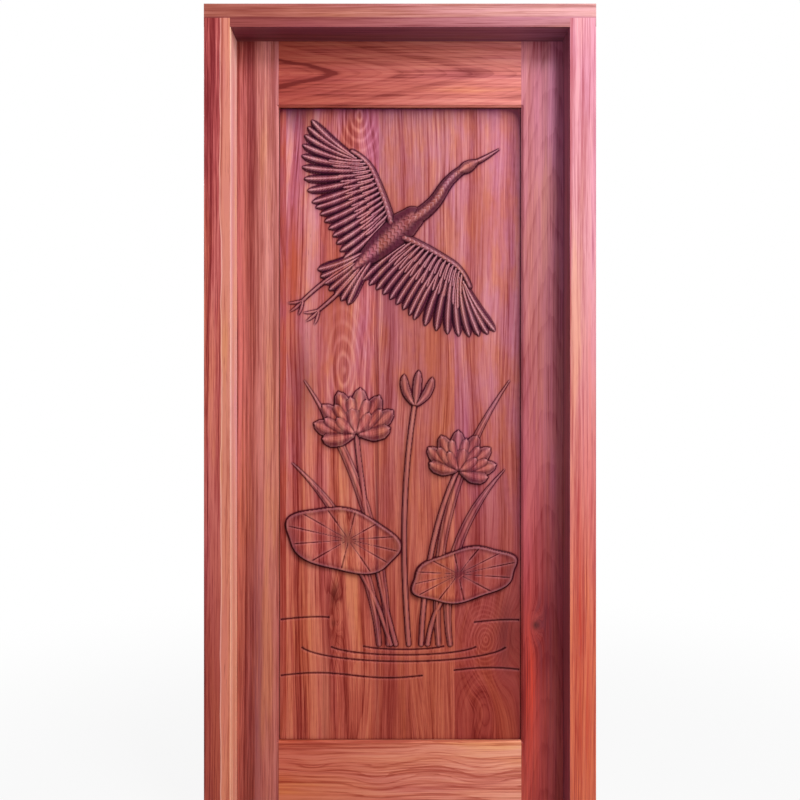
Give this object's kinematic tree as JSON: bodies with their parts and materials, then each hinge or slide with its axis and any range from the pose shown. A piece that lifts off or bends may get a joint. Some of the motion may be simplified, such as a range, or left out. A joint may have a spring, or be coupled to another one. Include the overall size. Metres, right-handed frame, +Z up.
{
  "type": "carved panel door in its frame",
  "caption": "Hardwood door leaf with a tall carved panel between stiles and rails, hung on butt hinges in a rebated timber frame.",
  "frame": {"origin": "on the floor, below the middle of the frame with its hinge barrels", "axes": "+Z up; the carved face looks along -Y; +X to the right of someone who faces it"},
  "size_m": [1.032, 0.154, 2.191],
  "materials": {
    "jamb_timber": "satin varnish",
    "head_timber": "satin varnish",
    "stile_timber": "satin varnish",
    "rail_timber": "satin varnish",
    "wedge_timber": "satin varnish",
    "panel_timber": "satin varnish, dark in the cuts",
    "brass": "satin",
    "steel": "zinc plated"
  },
  "bodies": {
    "frame": {"hinge_jamb": "jamb_timber", "closing_jamb": "jamb_timber", "frame_head": "head_timber", "head_screws": "steel", "jamb_plate_screws": "brass", "lower_hinge_jamb_plate": "brass", "lower_hinge_pin": "brass", "middle_hinge_jamb_plate": "brass", "middle_hinge_pin": "brass", "upper_hinge_jamb_plate": "brass", "upper_hinge_pin": "brass"},
    "leaf": {"hinge_stile": "stile_timber", "closing_stile": "stile_timber", "top_rail": "rail_timber", "bottom_rail": "rail_timber", "top_rail_wedges": "wedge_timber", "bottom_rail_wedges": "wedge_timber", "carved_panel": "panel_timber", "leaf_plate_screws": "brass", "lower_hinge_leaf_plate": "brass", "middle_hinge_leaf_plate": "brass", "upper_hinge_leaf_plate": "brass"}
  },
  "joints": [
    {"name": "leaf_swing", "type": "hinge", "parent": "frame", "child": "leaf", "pos_m": [-0.4585, 0.0705, 0], "axis": [0, 0, 1], "range_deg": [0, 170]}
  ]
}
